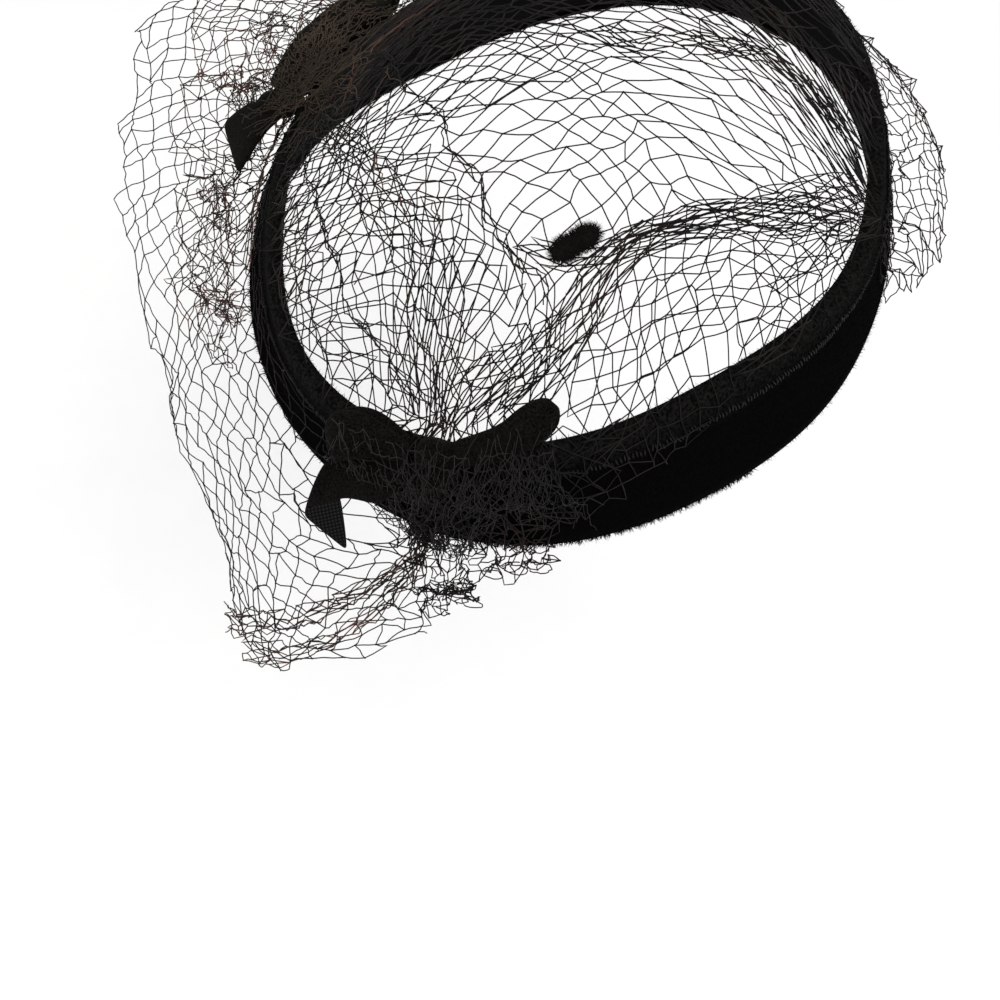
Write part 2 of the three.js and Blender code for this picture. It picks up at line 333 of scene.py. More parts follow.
# %% [markdown]
# Pile could be painted with a bump, but then the outline would stay knife sharp. Here thin
# three-sided cones are scattered over the band by a node tree and made real, so the lower edge
# bristles against the light as cut velvet does.

# %% Fibres on a surface
class Recipe(Nodes):
    """A geometry node tree that grows one piece out of a mesh."""

    def __init__(self, name):
        self.name = name
        self.tree = bpy.data.node_groups.new(name, "GeometryNodeTree")
        for way in ("INPUT", "OUTPUT"):
            self.tree.interface.new_socket("Geometry", in_out=way, socket_type="NodeSocketGeometry")

    def grown_from(self, source, result, material):
        """Runs the tree on a mesh and keeps what comes out as a mesh of its own."""
        self.node("NodeGroupOutput", {}, {0: result})
        carrier = bpy.data.objects.new(self.name + "_source", source)
        bpy.context.scene.collection.objects.link(carrier)
        carrier.modifiers.new("grown", "NODES").node_group = self.tree
        graph = bpy.context.evaluated_depsgraph_get()
        mesh = bpy.data.meshes.new_from_object(carrier.evaluated_get(graph))
        bpy.data.objects.remove(carrier)
        mesh.name = self.name
        mesh.materials.clear()
        mesh.materials.append(material)
        mesh.calc_loop_triangles()
        print(self.name, len(mesh.loop_triangles), "triangles")
        return mesh


def grown_fibres(name, surface, material, count_per_mm2, length, radius, lean, seed):
    """Scatters fibres over a surface: length and radius in millimetres, lean in radians."""
    recipe = Recipe(name)
    start = recipe.node("NodeGroupInput", {}, {})
    scatter_inputs = {"Mesh": start, "Density": count_per_mm2 / MM ** 2, "Seed": seed}
    points = recipe.node("GeometryNodeDistributePointsOnFaces", {}, scatter_inputs, "Points")
    upright = Wire(recipe.tree, points.socket.node.outputs["Rotation"])
    leans = {0: (-lean, -lean, -3.1), 1: (lean, lean, 3.1), "Seed": seed + 1}
    tilt = recipe.node("FunctionNodeRandomValue", {"data_type": "FLOAT_VECTOR"}, leans)
    tilted = {"Rotation": upright, "Rotate By": tilt}
    stand = recipe.node("FunctionNodeRotateRotation", {"rotation_space": "LOCAL"}, tilted)
    cone = {"Vertices": 3, "Radius Top": 0.0, "Radius Bottom": radius * MM, "Depth": length * MM}
    hair = recipe.node("GeometryNodeMeshCone", {"fill_type": "NONE"}, cone, "Mesh")
    sizes = {2: 0.45, 3: 1.15, "Seed": seed + 2}
    size = recipe.node("FunctionNodeRandomValue", {"data_type": "FLOAT"}, sizes, 1)
    planting = {"Points": points, "Instance": hair, "Rotation": stand, "Scale": size}
    planted = recipe.node("GeometryNodeInstanceOnPoints", {}, planting)
    real = recipe.node("GeometryNodeRealizeInstances", {}, {"Geometry": planted})
    mesh = recipe.grown_from(surface.data, real, material)
    return dressed(bpy.data.objects.new(name, mesh), None)


grown_fibres("band_pile", band, velvet.material, 0.9, 1.1, 0.08, 0.7, 11)

# %% A thicker fringe along the lower edge
FRINGE_HEIGHT = 1.6
FRINGE_DIRECTIONS = (96, 152)


def bears_fringe(spot):
    degrees = math.degrees(math.atan2(spot.y, spot.x)) % 360
    return spot.z < FRINGE_HEIGHT * MM and FRINGE_DIRECTIONS[0] < degrees < FRINGE_DIRECTIONS[1]


bm = bmesh.new()
bm.from_mesh(band.data)
bare = [face for face in bm.faces if not bears_fringe(face.calc_center_median())]
bmesh.ops.delete(bm, geom=bare, context="FACES")
edge_mesh = bpy.data.meshes.new("lower_edge")
bm.to_mesh(edge_mesh)
bm.free()
lower_edge = bpy.data.objects.new("lower_edge", edge_mesh)
grown_fibres("band_fringe", lower_edge, velvet.material, 5.0, 1.4, 0.13, 0.9, 15)
bpy.data.objects.remove(lower_edge)

# %% [markdown]
# A row of small slanting stitches runs below the rolled edge. Each is a short block, placed by its
# own matrix; at this size only its length and its lean can be seen.

# %% Stitches below the rolled edge
STITCH_HEIGHT = 23.0
STITCH_COUNT = 560
STITCH_STANDS_OUT = 0.55
sewing = Finish("sewing_thread", Roughness=0.8, Specular_IOR_Level=0.15)
fleck = sewing.noise(sewing.place(), 300.0)
sewing.feed("Base Color", sewing.blend(fleck, colour(3, 3, 3), colour(15, 14.5, 14)))

rng = np.random.default_rng(5)
bm = bmesh.new()
for stitch in range(STITCH_COUNT):
    angle = math.tau * stitch / STITCH_COUNT
    z = STITCH_HEIGHT + rng.normal(0, 0.25)
    radius = float(outer_radius(np.array(angle), z)) + STITCH_STANDS_OUT
    lean = Matrix.Rotation(rng.normal(0.25, 0.15), 4, "X")
    face_out = Matrix.Translation(polar(radius, angle, z)) @ Matrix.Rotation(angle, 4, "Z")
    shape = Matrix.Diagonal((0.45, 0.28, rng.uniform(1.2, 2.2), 1))
    bmesh.ops.create_cube(bm, size=1.0, matrix=face_out @ lean @ shape)
finished_piece("band_stitches", bm, sewing.material, None, smooth=False)
print("stitches", STITCH_COUNT)

# %% [markdown]
# The bows are tied from narrow velvet ribbon with a smooth woven back. A ribbon is a flat grid that
# is carried along rows of edge pairs, given thickness and smoothed, so each loop and tail is told
# by where its two selvedges run. All of them are laid out in the seat of their bow: x along the
# ring, y inwards and up, z off the edge.

# %% Ribbon finishes
ribbon_velvet = Finish("ribbon_velvet", **PILE, Sheen_Weight=0.02, Sheen_Roughness=0.5)
spot = ribbon_velvet.place()
grain = ribbon_velvet.noise(spot, 2400.0)
patch = ribbon_velvet.noise(spot, 120.0)
speck = ribbon_velvet.between(grain + 0.25 * (patch - 0.5), 0.3, 0.75)
nap = ribbon_velvet.blend(speck, colour(0.8, 0.7, 0.6), colour(8.6, 7.9, 6.7))
ribbon_velvet.feed("Base Color", nap)
ribbon_velvet.bump(grain, 0.6, 0.0004)

ribbon_back = Finish("ribbon_back", Roughness=0.7, Specular_IOR_Level=0.04)
spot = ribbon_back.place()
weave_turn = ribbon_back.node("ShaderNodeMapping", {}, {"Vector": spot, "Rotation": (0.3, 0.5, 0.8)})
threads = {"Vector": weave_turn, "Scale": 430.0, "Distortion": 1.2, "Detail": 1.0}
weft, warp = [
    ribbon_back.node("ShaderNodeTexWave", {"wave_type": "BANDS", "bands_direction": way}, threads, "Fac")
    for way in ("X", "Y")
]
weave = weft * warp
ribbon_back.feed("Base Color", ribbon_back.blend(weave, colour(1.6, 1.7, 1.8), colour(16, 16.6, 17.4)))
ribbon_back.bump(weave, 0.5, 0.0002)
print("ribbon finishes ready")

# %% Bow seats and ribbons
def bow_seat(angle, tilt):
    turn, tip = math.radians(angle), math.radians(tilt)
    rounding = BAND_THICKNESS / 2
    centre = BAND_HEIGHT - rounding
    radius = float(outer_radius(np.array(turn), centre)) - rounding + rounding * math.cos(tip)
    along = Vector((-math.sin(turn), math.cos(turn), 0))
    off = Vector((math.cos(tip) * math.cos(turn), math.cos(tip) * math.sin(turn), math.sin(tip)))
    up = off.cross(along)
    seat = Matrix((along, up, off)).transposed().to_4x4()
    seat.translation = polar(radius, turn, centre + rounding * math.sin(tip))
    return seat


def ribbon(name, seat, rows, node, thickness=1.3, fold=None):
    """Carries a flat grid along rows of two selvedge points; faces past row fold show the woven back."""
    spans = len(rows) - 1
    bm = bmesh.new()
    bmesh.ops.create_grid(bm, x_segments=spans, y_segments=4, size=0.5)
    for vertex in bm.verts:
        row = round((vertex.co.x + 0.5) * spans)
        first, second = (Vector(selvedge) for selvedge in rows[row])
        vertex.co = seat @ first.lerp(second, vertex.co.y + 0.5)
    if fold is not None:
        for index, face in enumerate(bm.faces):
            face.material_index = int(index % spans >= fold)
    piece = finished_piece(name, bm, ribbon_velvet.material, node)
    piece.data.materials.append(ribbon_back.material)
    thick = piece.modifiers.new("cloth", "SOLIDIFY")
    thick.thickness = thickness * MM
    thick.offset = 0
    smooth = piece.modifiers.new("smooth", "SUBSURF")
    smooth.levels = smooth.render_levels = 2
    return piece


def flat_loop(line, path, widths, lift):
    """Rows of a loop that lies flat: out along a bent line and back above it, its left edge lifted."""
    line = np.array(line, float)
    stops = np.arange(len(line))
    rows = []
    for stop, z in path:
        nearby = (stop, stop + 0.5, stop - 0.5)
        middle, lead, lag = [np.array([np.interp(near, stops, axis) for axis in line.T]) for near in nearby]
        run = (lead - lag) / np.linalg.norm(lead - lag)
        rounding = math.sqrt(1 - (max(stop - 3, 0) / 1.05) ** 2)
        edge = Vector((-run[1], run[0], lift)) * float(np.interp(stop, stops, widths) / 2 * rounding)
        spot = Vector((*middle, z))
        rows.append((spot - edge, spot + edge))
    return rows


back_seat = bow_seat(100, 45)
side_seat = bow_seat(17, 70)
for bow, seat in (("back", back_seat), ("side", side_seat)):
    print(bow, "bow sits at", [round(value, 1) for value in seat.translation])

# %% Back bow
# How far along its line the ribbon is, and how high: out along the bottom and back over the top.
flat_path = (
    (0, 2.6), (1, 2.0), (2, 1.9), (3, 2.0), (3.4, 2.2), (3.7, 2.6), (3.9, 3.2), (4, 4.2), (3.9, 5.2),
    (3.7, 5.8), (3.4, 6.3), (3, 6.5), (2, 6.8), (1, 6.2), (0, 4.6),
)
right_line = ((6, 2), (12, 5.2), (17.6, 8.8), (21, 13.4), (23.8, 18.4))
right_rows = flat_loop(right_line, flat_path, (5.2, 6.4, 7.6, 8.2, 8.2), 0.3)
ribbon("back_bow_right_loop", back_seat, right_rows, "back_bow_loop_right")
left_line = ((-3, -0.4), (-8, 0.8), (-12.5, 1.0), (-16.5, -0.2), (-20.6, -2.4))
left_path = [(stop, z * 1.15 + 0.4) for stop, z in flat_path]
left_rows = flat_loop(left_line, left_path, (4.5, 6.5, 9.5, 10.5, 10.5), 0.35)
ribbon("back_bow_left_loop", back_seat, left_rows, "back_bow_loop_left")

tail_rows = [
    ((-2.2, -1.6, 3.2), (-1.8, -7.6, 3.2)),
    ((-7.5, -2.4, 3.6), (-4.6, -11.0, 3.3)),
    ((-14.5, -3.6, 3.8), (-7.2, -14.0, 3.3)),
    ((-20.4, -6.0, 3.6), (-11.0, -14.2, 3.2)),
    ((-22.6, -13.0, 3.4), (-14.0, -14.6, 3.0)),
    ((-23.6, -21.4, 3.2), (-16.2, -15.2, 2.8)),
    ((-23.2, -22.4, 2.2), (-16.0, -16.2, 1.8)),
    ((-18.4, -24.6, 1.4), (-14.4, -21.2, 1.2)),
    ((-13.2, -26.7, 0.9), (-12.9, -26.4, 0.9)),
]
ribbon("back_bow_ribbon_tail", back_seat, tail_rows, "back_bow_tail", thickness=1.0, fold=5)
print("back bow laid")

# %% Side bow
side_line = ((-3, -3), (-12, 0), (-19, 2.2), (-26.5, 7), (-37, 17))
side_path = [(stop, 0.8 * z + 1.2) for stop, z in flat_path]
side_rows = flat_loop(side_line, side_path, (14, 17, 17.5, 18, 18), 0.0)
ribbon("side_bow_flat_loop", side_seat, side_rows, "side_bow_loop")
tail_rows = [
    ((-1.5, -8.5, 3.2), (4.5, -1.0, 3.0)),
    ((-2.2, -12.5, 3.4), (7.6, -3.6, 3.0)),
    ((-1.4, -15.6, 3.4), (11.8, -5.4, 2.7)),
    ((1.0, -18.4, 3.0), (17.0, -6.6, 2.2)),
    ((3.6, -20.8, 2.6), (23.0, -7.6, 1.6)),
]
ribbon("side_bow_ribbon_tail", side_seat, tail_rows, "side_bow_tail")
print("side bow laid")

# %% [markdown]
# The knots are the middle of each bow, a turn of ribbon drawn tight. A rounded barrel with a few
# lengthwise folds, made from a sphere, reads as cloth pulled together.

# %% Knots
def knot(name, seat, centre, width, height, depth, node):
    bm = bmesh.new()
    bmesh.ops.create_uvsphere(bm, u_segments=40, v_segments=20, radius=0.5)
    for vertex in bm.verts:
        x, y, z = vertex.co * 2
        barrel = 1 / max(abs(x) ** 3 + abs(y) ** 3 + abs(z) ** 3, 1e-6) ** (1 / 3)
        x, y, z = x * barrel, y * barrel, z * barrel
        folds = 1 + 0.07 * math.sin(9 * math.atan2(z, x)) + 0.04 * math.sin(17 * math.atan2(z, x) + 2 * y)
        waist = 0.86 + 0.14 * y * y
        local = Vector((0.5 * width * x * folds * waist, 0.5 * height * y, 0.5 * depth * z * folds * waist))
        vertex.co = seat @ (Vector(centre) + local)
    bmesh.ops.recalc_face_normals(bm, faces=bm.faces)
    return finished_piece(name, bm, ribbon_velvet.material, node)


knot("back_bow_tight_knot", back_seat, (3.0, -1.0, 3.9), 9.5, 10.5, 7, "back_bow_knot")
knot("side_bow_tight_knot", side_seat, (0, -4, 3.3), 8, 13, 6, "side_bow_knot")
print("knots tied")

# %% [markdown]
# One chenille dot is caught in the crown net: two soft lobes of short fibres. A sphere is drawn out,
# pinched at its waist, and covered with fibres that hide its surface.

# %% Chenille dot
chenille = Finish("chenille", **PILE, Sheen_Weight=0.02)
tuft = chenille.noise(chenille.place(), 1100.0)
chenille.feed("Base Color", chenille.blend(tuft, colour(2, 1.8, 1.5), colour(16, 14, 11.5)))
chenille.bump(tuft, 0.6, 0.0004)

low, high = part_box("chenille_dot")
dot_centre = (Vector(low) + Vector(high)) / (2 * MM) + Vector((1.1, -1.6, 0.6))
DOT_LENGTH, DOT_WIDTH = 11.2, 4.7
DOT_DIRECTION = math.radians(68)
axis = Vector((math.cos(DOT_DIRECTION), math.sin(DOT_DIRECTION), 0))
bm = bmesh.new()
bmesh.ops.create_uvsphere(bm, u_segments=28, v_segments=18, radius=0.5)
lay = axis.to_track_quat("Z", "X").to_matrix().to_4x4()
for vertex in bm.verts:
    x, y, z = vertex.co
    pinch = 1 - 0.3 * math.exp(-((z / 0.14) ** 2))
    vertex.co = Vector((x * DOT_WIDTH * pinch, y * DOT_WIDTH * pinch, z * DOT_LENGTH))
bmesh.ops.transform(bm, matrix=Matrix.Translation(dot_centre) @ lay, verts=bm.verts)
dot = finished_piece("chenille_tuft", bm, chenille.material, "chenille_dot")
grown_fibres("chenille_fibres", dot, chenille.material, 30.0, 1.7, 0.055, 0.75, 21)

# %% [markdown]
# The net is knotted from fine thread in diamond cells about 5 mm on a side. It is one cloth, so it
# has to be laid as one: a flat lattice is wrapped over a form, the dome of the open crown, the face
# of the band and the skirt where it falls, and then settled like a real net, thread by thread.

# %% Net thread
def thread_finish(name, dark, light, rust):
    finish = Finish(name, Roughness=0.6, Specular_IOR_Level=0.08)
    spot = finish.place()
    tint = finish.between(finish.noise(spot, 45.0, 2.0), 0.45, 0.72)
    fleck = finish.noise(spot, 900.0)
    plain = finish.blend(fleck, dark, light)
    finish.feed("Base Color", finish.blend(tint, plain, rust))
    return finish.material


net_thread = thread_finish("net_thread", colour(3.5, 3.2, 3.2), colour(12, 10.8, 10.3), colour(20, 13, 11))
faded_thread = thread_finish("faded_thread", colour(20, 12, 9), colour(62, 37, 28), colour(150, 64, 46))
dusty_thread = thread_finish("dusty_thread", colour(12, 9, 6.5), colour(48, 37, 26), colour(64, 46, 33))
# Threads over the back bow: dark grey thread made lighter, a painted highlight against the black velvet.
grey_highlit_thread = thread_finish("grey_highlit_thread", colour(8, 7.6, 7.3), colour(26, 24, 23), colour(29, 24, 21.5))
print("thread finishes ready")

# %% The form under the net
CROWN_RISE = 40.0
NET_SEAT = 30.8
RIM_MIDDLE = BAND_THICKNESS / 2
SECTIONS = 360
CROWN_STEPS = 24
# Direction in degrees, how far the free edge stands out past the lower edge of the band, its height.
HEM = np.array([
    (0, 62, 17), (6, 57, 13), (12, 49, 9), (20, 42, 5), (28, 36, -2), (36, 33, -14), (44, 27, -22),
    (52, 27, -23), (56, 29, -29), (60, 27, -38), (68, 26, -41), (76, 35, -48), (84, 38, -40), (90, 32, -30),
    (96, 14, -34), (100, 10, -32), (104, 6, -16), (110, 2, -8), (117, -2, 4), (121, -4, 9), (125, -6, 12),
    (133, -9, 14), (137, -11, 18), (140, -12, 20), (147, -12, 23), (154, -12, 25), (178, -10, 25),
    (188, -6, 18), (196, 4, 6), (205, 10, -2), (230, 22, -14), (270, 30, -18), (310, 36, -12),
    (338, 53, 7), (350, 60, 14), (360, 62, 17),
], float)


def form_sections():
    """For each degree round the ring, points (radius, height) from the top of the crown to the hem."""
    angle = np.arange(SECTIONS) * math.tau / SECTIONS
    rim = upper_radius(angle) + RIM_MIDDLE
    share = np.linspace(0, 1, CROWN_STEPS)
    dome_z = NET_SEAT + CROWN_RISE * (1 - share ** 2)
    dome = np.stack([rim[:, None] * share, dome_z + 0 * rim[:, None]], axis=2)
    edge = np.stack([rim + 1.4, 0 * rim + 30.0], axis=1)
    brow = np.stack([outer_radius(angle, 28.0) + 0.3, 0 * rim + 28.0], axis=1)
    degrees = np.degrees(angle)
    out = np.interp(degrees, HEM[:, 0], HEM[:, 1])
    hem_z = np.interp(degrees, HEM[:, 0], HEM[:, 2])
    hem_radius = outer_radius(angle, 0.0) + out
    top_z = np.clip(hem_z + 6, 10, 27)
    top_radius = outer_radius(angle, top_z) + 0.8
    bend_radius = 0.5 * (top_radius + hem_radius) + 6 * np.clip(out / 12, 0, 1)
    bend_z = top_z + 0.38 * (hem_z - top_z)
    v = np.linspace(0, 1, 18)
    ease = np.stack([(1 - v) ** 2, 2 * v * (1 - v), v ** 2])
    radius = np.stack([top_radius, bend_radius, hem_radius], axis=1) @ ease
    z = np.stack([top_z, bend_z, hem_z], axis=1) @ ease
    face = outer_radius(angle[:, None], np.clip(z, 0, BAND_HEIGHT)) + 0.8
    radius = np.where(z > 0, np.maximum(radius, face), radius)
    skirt = np.stack([radius, z], axis=2)
    return np.concatenate([dome, edge[:, None], brow[:, None], skirt], axis=1)


FORM = form_sections()
steps = np.linalg.norm(np.diff(FORM, axis=1), axis=2)
FORM_LENGTH = np.concatenate([np.zeros((SECTIONS, 1)), np.cumsum(steps, axis=1)], axis=1)
print("crown to hem", FORM_LENGTH[:, -1].min().round(), "to", FORM_LENGTH[:, -1].max().round(), "mm")

# %% Laying on the form and keeping off it
def section_of(angle):
    return np.round((angle % math.tau) / math.tau * SECTIONS).astype(int) % SECTIONS


def on_form(angle, length):
    """Places at a length down the form from the top of the crown, in each direction."""
    spots = np.zeros((len(angle), 3))
    for index, (row, reach) in enumerate(zip(section_of(angle), length)):
        radius = np.interp(reach, FORM_LENGTH[row], FORM[row, :, 0])
        z = np.interp(reach, FORM_LENGTH[row], FORM[row, :, 1])
        spots[index] = polar(radius, angle[index], z)
    return spots


def kept_off_form(spots, gap):
    """Moves places that sank into the form straight out of its surface."""
    radius = np.hypot(spots[:, 0], spots[:, 1])
    path = FORM[section_of(np.arctan2(spots[:, 1], spots[:, 0]))]
    place = np.stack([radius, spots[:, 2]], axis=1)
    run = np.diff(path, axis=1)
    reach = place[:, None] - path[:, :-1]
    part = np.clip((reach * run).sum(2) / (run ** 2).sum(2), 0, 1)
    away = reach - part[:, :, None] * run
    row = np.arange(len(spots))
    near = (away ** 2).sum(2).argmin(axis=1)
    along = run[row, near]
    along = along / np.linalg.norm(along, axis=1)[:, None]
    outward = np.stack([-along[:, 1], along[:, 0]], axis=1)
    sunk = np.clip(gap - (away[row, near] * outward).sum(1), 0, 4)
    moved = spots.copy()
    moved[:, :2] *= ((radius + sunk * outward[:, 0]) / np.maximum(radius, 1e-6))[:, None]
    moved[:, 2] += sunk * outward[:, 1]
    return moved


print("form sections", FORM.shape)

# %% [markdown]
# Two bows and one bare stitch point draw the net together. Round the rim a wide piece of net is
# squeezed into each of these gathers, so its threads fan out from there. Between gathers a pulled
# net also bunches along lines, and those lines are drawn here as they run over the crown.

# %% Gathers and bunches
# For each gather, its direction and half width in the flat net, then the same on the ring, in degrees.
CROWN_GATHERS = ((20.0, 21.0, 20.0, 4.0), (100.0, 17.0, 100.0, 4.5), (194.0, 18.0, 194.0, 8.0))
FALL_GATHERS = ((20.0, 18.0, 20.0, 4.0), (86.0, 18.0, 99.5, 3.5), (194.0, 26.0, 194.0, 8.0))
# Lines in plan, how far from them the net is drawn in, and how strongly.
FROM_THIRD = ((-66.8, -18.4), (-64.4, -14.7), (-54.1, 5.5), (-44.1, 18.8), (-36.9, 29.2))
THIRD_TO_BACK = FROM_THIRD + (
    (-32.4, 36.5), (-31, 45.1), (-31.1, 52.4), (-29.8, 58.8), (-28, 65.2), (-24, 72), (-20, 79),
)
SIDE_TO_BACK = (
    (57.8, 27.3), (43.5, 35.4), (32.1, 41.3), (18.6, 50), (6.8, 55.3), (0.4, 59.9), (-4, 67), (-8.6, 74),
    (-12.3, 81),
)
BELOW_DOT = FROM_THIRD + ((-29.5, 40.7), (-22.8, 47.5), (-11.2, 49.9))
CROWN_BUNCHES = ((THIRD_TO_BACK, 12.0, 0.55), (SIDE_TO_BACK, 12.0, 0.3), (BELOW_DOT[4:], 5.0, 0.5))
# Lines down the fall, each point a direction in degrees and a share of the way from the rim to the hem.
FALL_BUNCHES = (
    (((100, 0.25), (98, 0.45), (93, 0.62), (86, 0.8), (78, 0.95)), 5.0, 0.6),
    (((100, 0.3), (98.5, 0.55), (94, 0.75), (88, 0.92), (83, 1.0)), 4.5, 0.6),
)


def gathered(degrees, gathers):
    """The direction on the ring where a direction in the flat net ends up."""
    flat, ring = [], []
    for middle, loose, caught, tight in gathers:
        flat += [middle - loose, middle + loose]
        ring += [caught - tight, caught + tight]
    flat = np.concatenate([np.array(flat) + turn for turn in (-360, 0, 360)])
    ring = np.concatenate([np.array(ring) + turn for turn in (-360, 0, 360)])
    return sum(np.interp(degrees + blur, flat, ring) for blur in (-8, -4, 0, 4, 8)) / 5


def nearest_on(line, spots):
    """For each place, the nearest place on a line of points, and how far it is."""
    line = np.array(line, float)
    near, far = np.zeros_like(spots), np.full(len(spots), np.inf)
    for start, run in zip(line[:-1], np.diff(line, axis=0)):
        part = np.clip(((spots - start) @ run) / (run @ run), 0, 1)
        foot = start + part[:, None] * run
        gap = np.linalg.norm(spots - foot, axis=1)
        near[gap < far] = foot[gap < far]
        far = np.minimum(far, gap)
    return near, far


def bunched(spots, lines):
    for line, reach, pull in lines:
        near, far = nearest_on(line, spots)
        spots = spots + (near - spots) * (pull * np.exp(-(far / reach) ** 2))[:, None]
    return spots


def down_the_fall(points):
    degrees, share = np.array(points, float).T
    row = section_of(np.radians(degrees))
    rim, hem = FORM_LENGTH[row, CROWN_STEPS], FORM_LENGTH[row, -1]
    return on_form(np.radians(degrees), rim + share * (hem - rim))


def crown_height(plan):
    rim = upper_radius(np.arctan2(plan[:, 1], plan[:, 0])) + RIM_MIDDLE
    share = np.hypot(plan[:, 0], plan[:, 1]) / rim
    return NET_SEAT + CROWN_RISE * (1 - np.minimum(share, 1) ** 2)


fall_lines = [(down_the_fall(points), reach, pull) for points, reach, pull in FALL_BUNCHES]
print("gathers", len(CROWN_GATHERS), "bunches", len(CROWN_BUNCHES) + len(FALL_BUNCHES))

# %% [markdown]
# A layer starts as a flat grid whose faces are taken away, which leaves knots and threads. It is
# rippled a little, wrapped over the form and trimmed. Then it settles: every thread tries to keep
# its length, the part past the rim hangs, and nothing may sink into the form.

# %% A flat net
def lattice(cells_x, cells_y, cell):
    """A flat square net: the knots and threads of a grid without its faces."""
    bm = bmesh.new()
    bmesh.ops.create_grid(bm, x_segments=cells_x, y_segments=cells_y, size=0.5)
    bmesh.ops.scale(bm, vec=(cells_x * cell, cells_y * cell, 1), verts=bm.verts)
    bmesh.ops.delete(bm, geom=bm.faces[:], context="FACES_ONLY")
    return bm


def turned(bm, degrees, shift):
    spin = Matrix.Rotation(math.radians(degrees), 3, "Z")
    bmesh.ops.rotate(bm, verts=bm.verts, cent=(0, 0, 0), matrix=spin)
    bmesh.ops.translate(bm, verts=bm.verts, vec=(*shift, 0))
    return np.array([vertex.co.xy for vertex in bm.verts])


def ripples(flat, rng, amount):
    shift = np.zeros_like(flat)
    for wave in range(10):
        phase = flat @ rng.normal(0, 1 / 14, 2) + rng.uniform(0, math.tau)
        shift += np.sin(phase)[:, None] * rng.normal(0, 1, 2)
    return shift * amount / math.sqrt(10)


def torn(bm, share, rng):
    gone = [edge for edge in bm.edges if rng.random() < share]
    bmesh.ops.delete(bm, geom=gone, context="EDGES")
    bm.verts.index_update()


def trimmed(bm, covers):
    gone = [vertex for vertex, stays in zip(bm.verts, covers) if not stays]
    bmesh.ops.delete(bm, geom=gone, context="VERTS")
    bm.verts.index_update()


print("flat net helpers ready")

# %% Settling threads
# What is kept of the last move, and how far a hanging knot drops in each round.
MOTION_KEPT = 0.85
DROP = 0.02
# How hard a thread that is too long or too short corrects itself, and how far each sweep goes.
PULL_IN, PUSH_OUT = 0.5, 0.13
SWEEPS = 4
SWEEP_REACH = 1.9
# How much neighbours even out, and how much a knot goes back to where it was laid.
EVENING = 0.06
HOMING = 0.1
FREE_WHEN_HANGING = 0.8


def settled(spots, threads, lengths, hang, rng, gap, rounds):
    """Lets knots move until each thread is near its length; hang is 1 where the net falls free."""
    home = spots.copy()
    spots = spots + rng.normal(0, 0.4, spots.shape)
    first, second = threads[:, 0], threads[:, 1]
    meeting = np.maximum(np.bincount(threads.ravel(), minlength=len(spots)), 1)[:, None]
    drift = np.zeros_like(spots)
    for step in range(rounds):
        before = spots.copy()
        spots = spots + MOTION_KEPT * drift
        spots[:, 2] -= DROP * hang
        for sweep in range(SWEEPS):
            run = spots[second] - spots[first]
            now = np.maximum(np.linalg.norm(run, axis=1), 1e-6)
            error = (now - lengths) / now
            move = run * (error * np.where(error > 0, PULL_IN, PUSH_OUT))[:, None]
            shift = np.zeros_like(spots)
            np.add.at(shift, first, move)
            np.add.at(shift, second, -move)
            spots += SWEEP_REACH * shift / meeting
        middle = np.zeros_like(spots)
        np.add.at(middle, first, spots[second])
        np.add.at(middle, second, spots[first])
        spots += EVENING * (middle / meeting - spots)
        spots = kept_off_form(spots, gap)
        spots += HOMING * (1 - FREE_WHEN_HANGING * hang)[:, None] * (home - spots)
        drift = spots - before
    return spots


def laid_net(bm, spots, covers, hang, cell, gap, rng, rounds, uneven=0.12):
    """Puts a flat net on its places, trims it, and lets it settle."""
    slack = bm.verts.layers.float.new("slack")
    for vertex, spot, share in zip(bm.verts, spots, hang):
        vertex.co = spot
        vertex[slack] = share
    trimmed(bm, covers)
    torn(bm, 0.012, rng)
    stretched = [edge for edge in bm.edges if edge.calc_length() > 3 * cell]
    bmesh.ops.delete(bm, geom=stretched, context="EDGES")
    bm.verts.index_update()
    spots = np.array([vertex.co for vertex in bm.verts])
    hang = np.array([vertex[slack] for vertex in bm.verts])
    threads = np.array([[vertex.index for vertex in edge.verts] for edge in bm.edges])
    laid = np.linalg.norm(spots[threads[:, 0]] - spots[threads[:, 1]], axis=1)
    loose = 0.7 * hang[threads].mean(axis=1)
    lengths = (laid * (1 - loose) + cell * loose) * (1 + uneven * rng.standard_normal(len(threads)))
    spots = settled(spots, threads, lengths, hang, rng, gap, rounds)
    for vertex, spot in zip(bm.verts, spots):
        vertex.co = spot
    print("layer of", len(spots), "knots and", len(threads), "threads")
    return bm


print("settling ready")

# %% Laying a crown layer
CROWN_CELL = 5.6
CROWN_SPAN = 420
CROWN_FULLNESS = 1.15
CROWN_ROUNDS = 60
# Directions of the band's back face, and how far the crown net reaches down it there.
BACK_FACE = (97, 130, 146, 152)
BACK_FACE_REACH = (30, 30, 8, 2)


def drawn_out(flat):
    """Flattens the diamonds over the middle of the crown, where the net is pulled from side to side."""
    turn = math.radians(33)
    side = np.array((math.cos(turn), math.sin(turn)))
    back = np.array((-math.sin(turn), math.cos(turn)))
    wide, deep = flat @ side, flat @ back
    wide = wide * (1 + 0.25 * np.clip((52 - deep) / 25, 0, 1))
    deep = np.where(deep < 44, 44 + 0.62 * (deep - 44), deep)
    return wide[:, None] * side + deep[:, None] * back


